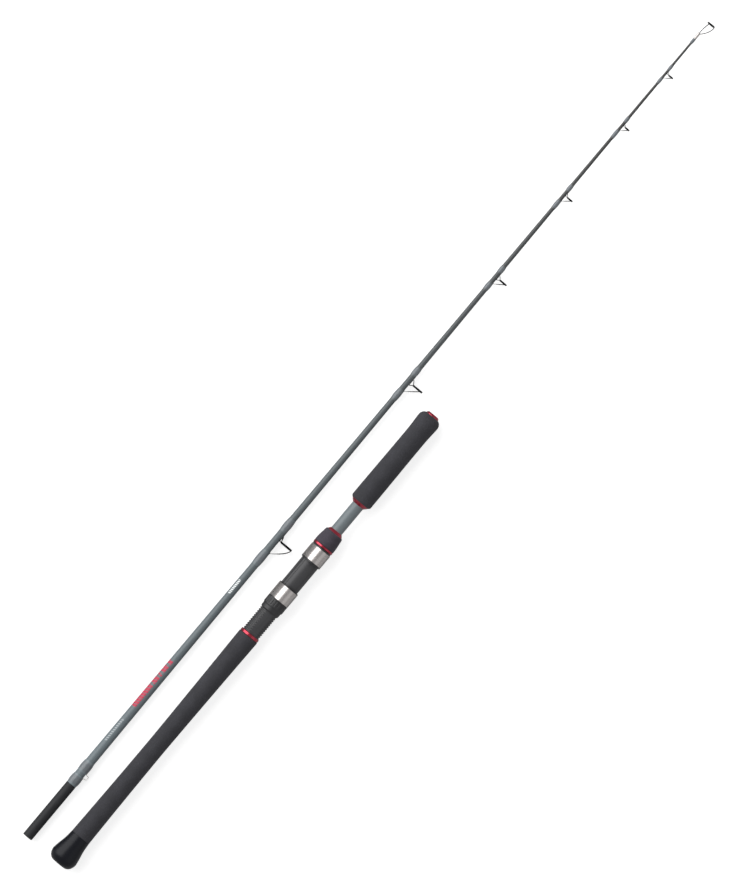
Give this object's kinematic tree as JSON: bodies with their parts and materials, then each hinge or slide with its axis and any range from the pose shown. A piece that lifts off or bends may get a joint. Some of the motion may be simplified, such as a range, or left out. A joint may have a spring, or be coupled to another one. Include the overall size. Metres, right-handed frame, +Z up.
{
  "type": "fishing rod",
  "caption": "Sectional spinning fishing rod laid apart: foam-grip handle with a screw-lock reel seat, beside a tapered tip section with ringed line guides and a push-in spigot.",
  "frame": {"origin": "middle of the butt cap's flat end, on the handle's axis", "axes": "+X along both sections from the butt to the tip, +Y from the handle to the tip section, +Z up from the surface they lie on"},
  "size_m": [1.3351, 0.0772, 0.0375],
  "materials": {
    "cap_gloss": "gloss",
    "eva_foam": "matte closed-cell foam",
    "eva_cone": "matte closed-cell foam",
    "blank": "satin",
    "red_trim": "polished red anodised",
    "seat_nylon": "satin",
    "hood_nylon": "satin",
    "nut_nylon": "satin",
    "arbor": "matte",
    "steel_band": "satin brushed",
    "spigot_black": "matte",
    "keeper_wire": "satin",
    "wrap_resin": "gloss",
    "guide_metal": "polished gunmetal plating",
    "guide_ring": "polished"
  },
  "bodies": {
    "handle": {"butt_cap": "cap_gloss", "rear_grip": "eva_foam", "handle_tube": "blank", "rear_trim_ring": "red_trim", "seat_barrel": "seat_nylon", "seat_arbor_rear": "arbor", "seat_arbor_front": "arbor", "fixed_hood": "hood_nylon", "fixed_hood_band": "steel_band", "mid_trim_ring": "red_trim", "cone_grip": "eva_cone", "cone_trim_ring": "red_trim", "foregrip_rear_trim": "red_trim", "foregrip": "eva_foam", "foregrip_front_trim": "red_trim"},
    "hood": {"moving_hood": "hood_nylon", "moving_hood_band": "steel_band"},
    "nut": {"lock_nut": "nut_nylon"},
    "tip_section": {"spigot_sleeve": "spigot_black", "tip_blank": "blank", "keeper_wrap_1": "wrap_resin", "keeper_wrap_2": "wrap_resin", "hook_keeper": "keeper_wire", "guide_1_frame": "guide_metal", "guide_1_ring": "guide_ring", "guide_1_wrap_rear": "wrap_resin", "guide_1_wrap_front": "wrap_resin", "guide_2_frame": "guide_metal", "guide_2_ring": "guide_ring", "guide_2_wrap_rear": "wrap_resin", "guide_2_wrap_front": "wrap_resin", "guide_3_frame": "guide_metal", "guide_3_ring": "guide_ring", "guide_3_wrap_rear": "wrap_resin", "guide_3_wrap_front": "wrap_resin", "guide_4_frame": "guide_metal", "guide_4_ring": "guide_ring", "guide_4_wrap_rear": "wrap_resin", "guide_4_wrap_front": "wrap_resin", "guide_5_frame": "guide_metal", "guide_5_ring": "guide_ring", "guide_5_wrap_rear": "wrap_resin", "guide_5_wrap_front": "wrap_resin", "guide_6_frame": "guide_metal", "guide_6_ring": "guide_ring", "guide_6_wrap_rear": "wrap_resin", "guide_6_wrap_front": "wrap_resin", "tip_top_frame": "guide_metal", "tip_top_ring": "guide_ring", "tip_top_wrap": "wrap_resin"}
  },
  "joints": [
    {"name": "hood_slide", "type": "slide", "parent": "handle", "child": "hood", "axis": [1, 0, 0], "range_m": [-0.0321, 0.0049]},
    {"name": "nut_spin", "type": "hinge", "parent": "hood", "child": "nut", "pos_m": [0.4122, 0, 0], "axis": [1, 0, 0], "range_deg": [-3600, 540]},
    {"name": "section_slide", "type": "slide", "parent": "handle", "child": "tip_section", "axis": [1, 0, 0], "range_m": [0, 0.745]}
  ],
  "couplings": [
    {"joint": "hood_slide", "follows": "nut_spin", "m_per_rad": 0.0005093}
  ]
}
